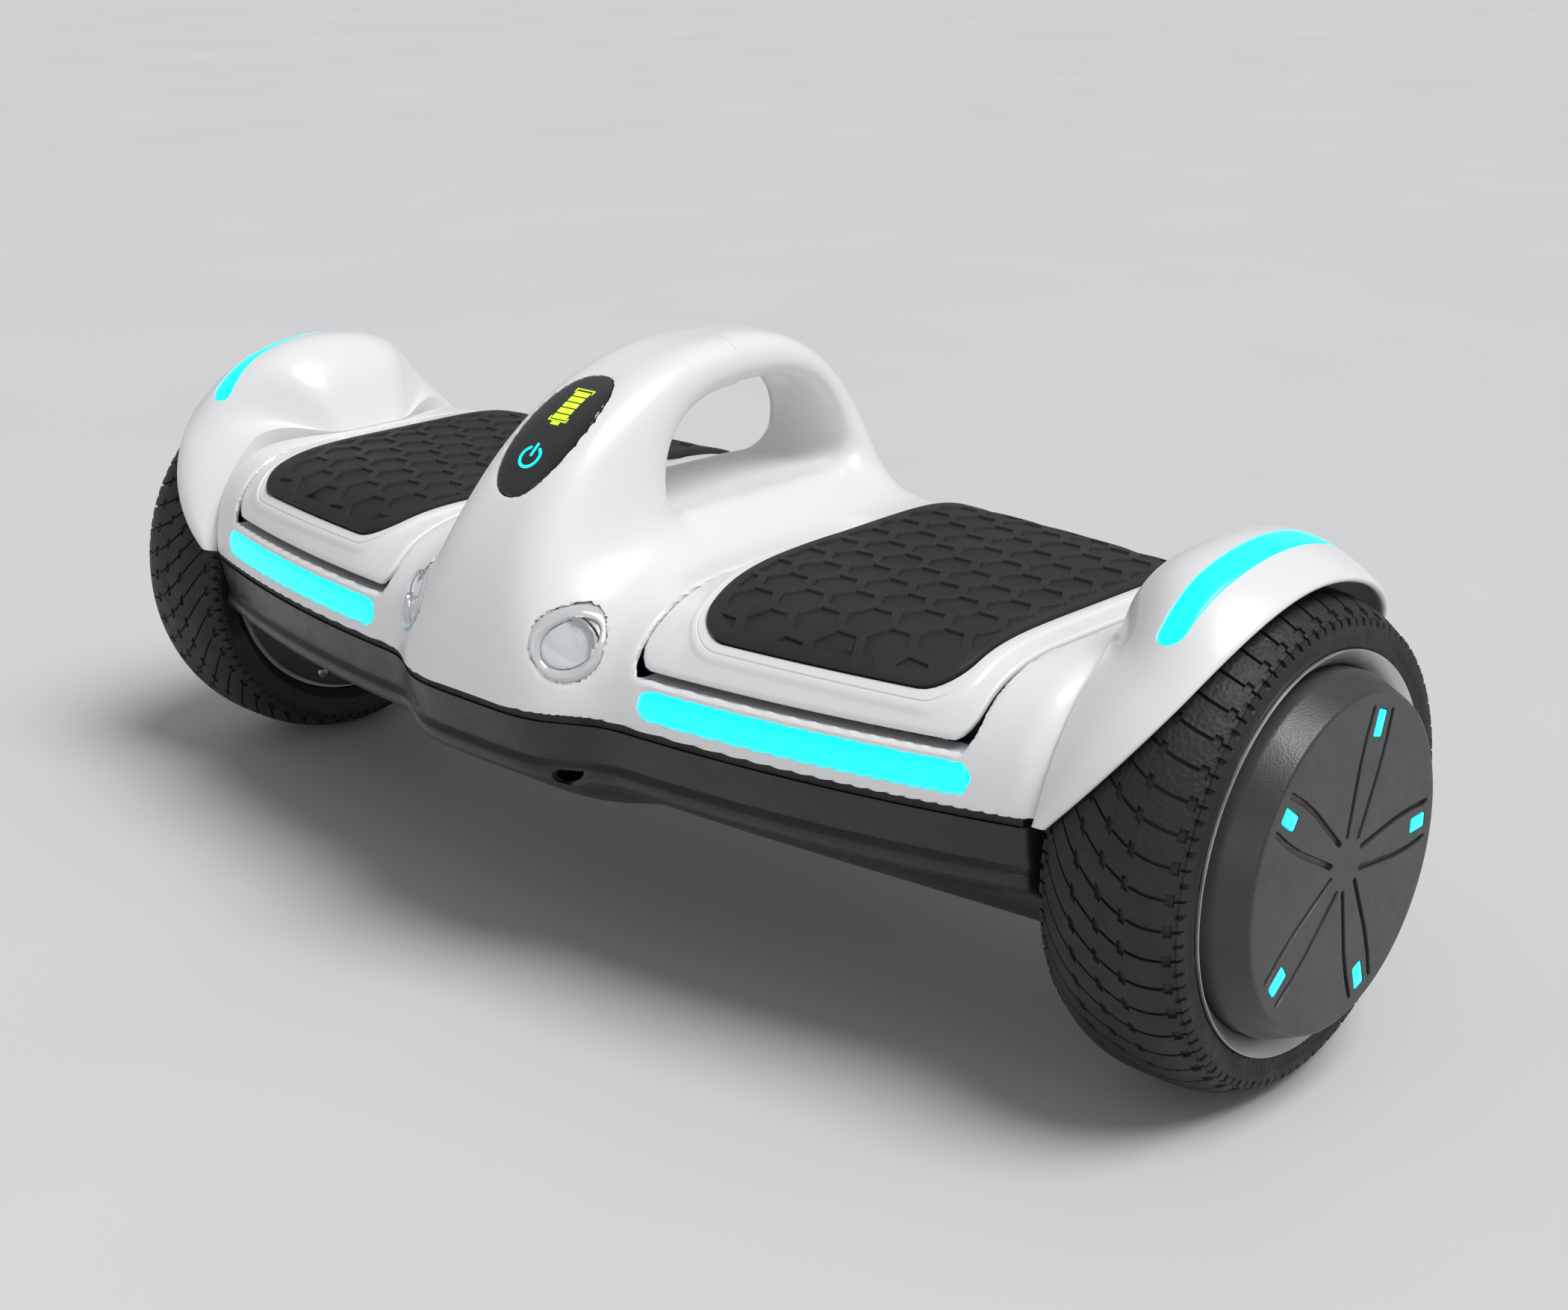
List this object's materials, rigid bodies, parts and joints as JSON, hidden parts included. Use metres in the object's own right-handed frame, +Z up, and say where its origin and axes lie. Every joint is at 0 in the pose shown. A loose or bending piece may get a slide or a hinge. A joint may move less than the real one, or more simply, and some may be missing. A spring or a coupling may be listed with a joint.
{
  "type": "self balancing hoverboard",
  "caption": "One-piece self balancing board: white shell with a carry arch, rocking foot pedals with rubber mats, fenders and hub-motor wheels.",
  "frame": {"origin": "on the floor under the board's centre, midway between the two wheels' axles", "axes": "+X across the board from the left wheel to the right wheel, -Y the front with the headlights, +Z up"},
  "size_m": [0.5748, 0.244, 0.2184],
  "materials": {
    "white_shell": "gloss",
    "button_plastic": "satin",
    "dark_shell": "gloss",
    "black_rubber": "matte",
    "tyre_rubber": "matte",
    "black_glass": "gloss",
    "clear_lens": "gloss",
    "cyan_light": "satin",
    "steel": "satin",
    "stator_iron": "satin",
    "aluminium": "satin",
    "mirror_reflector": "polished",
    "hub_dark": "satin",
    "circuit_board": "satin",
    "battery_case": "satin"
  },
  "bodies": {
    "chassis": {"battery_pack": "battery_case", "bottom_shell": "dark_shell", "charge_socket": "aluminium", "display_board": "circuit_board", "display_lens": "black_glass", "left_axle": "steel", "left_axle_clamp": "aluminium", "left_fender": "white_shell", "left_fender_light": "cyan_light", "left_front_foot_sensor": "black_rubber", "left_front_light": "cyan_light", "left_gyro_board": "circuit_board", "left_headlight_lens": "clear_lens", "left_headlight_reflector": "mirror_reflector", "left_motor_cable": "black_rubber", "left_pedal_pin": "steel", "left_pedal_tray": "aluminium", "left_rear_foot_sensor": "black_rubber", "left_stator": "stator_iron", "main_board": "circuit_board", "right_axle": "steel", "right_axle_clamp": "aluminium", "right_fender": "white_shell", "right_fender_light": "cyan_light", "right_front_foot_sensor": "black_rubber", "right_front_light": "cyan_light", "right_gyro_board": "circuit_board", "right_headlight_lens": "clear_lens", "right_headlight_reflector": "mirror_reflector", "right_motor_cable": "black_rubber", "right_pedal_pin": "steel", "right_pedal_tray": "aluminium", "right_rear_foot_sensor": "black_rubber", "right_stator": "stator_iron", "seam_gasket": "black_rubber", "support_frame": "steel", "top_shell": "white_shell"},
    "left_wheel": {"left_tyre": "tyre_rubber", "left_rim": "aluminium", "left_magnet_ring": "steel", "left_motor_cover": "hub_dark", "left_inner_bearing": "steel", "left_outer_bearing": "steel", "left_hub_light": "cyan_light", "left_hub_cover": "hub_dark"},
    "right_wheel": {"right_tyre": "tyre_rubber", "right_rim": "aluminium", "right_magnet_ring": "steel", "right_motor_cover": "hub_dark", "right_inner_bearing": "steel", "right_outer_bearing": "steel", "right_hub_light": "cyan_light", "right_hub_cover": "hub_dark"},
    "left_pedal": {"left_pedal_plate": "white_shell", "left_mat": "black_rubber"},
    "right_pedal": {"right_pedal_plate": "white_shell", "right_mat": "black_rubber"},
    "power_button": {"power_button": "button_plastic"},
    "port_cap": {"charge_port_cap": "black_rubber"}
  },
  "joints": [
    {"name": "left_wheel_spin", "type": "hinge", "parent": "chassis", "child": "left_wheel", "pos_m": [-0.25, 0, 0.085], "axis": [1, 0, 0], "continuous": true},
    {"name": "right_wheel_spin", "type": "hinge", "parent": "chassis", "child": "right_wheel", "pos_m": [0.25, 0, 0.085], "axis": [1, 0, 0], "continuous": true},
    {"name": "left_pedal_tilt", "type": "hinge", "parent": "chassis", "child": "left_pedal", "pos_m": [-0.135, 0, 0.138], "axis": [1, 0, 0], "range_deg": [-1.5, 1.5], "stiffness_Nm_per_rad": 40},
    {"name": "right_pedal_tilt", "type": "hinge", "parent": "chassis", "child": "right_pedal", "pos_m": [0.135, 0, 0.138], "axis": [1, 0, 0], "range_deg": [-1.5, 1.5], "stiffness_Nm_per_rad": 40},
    {"name": "power_button_press", "type": "slide", "parent": "chassis", "child": "power_button", "axis": [0, -1, 0], "range_m": [0, 0.0012], "stiffness_N_per_m": 600},
    {"name": "port_cap_hinge", "type": "hinge", "parent": "chassis", "child": "port_cap", "pos_m": [-0.0105, 0.1158, 0.085], "axis": [-1, 0, 0], "range_deg": [0, 100], "stiffness_Nm_per_rad": 0.005}
  ]
}
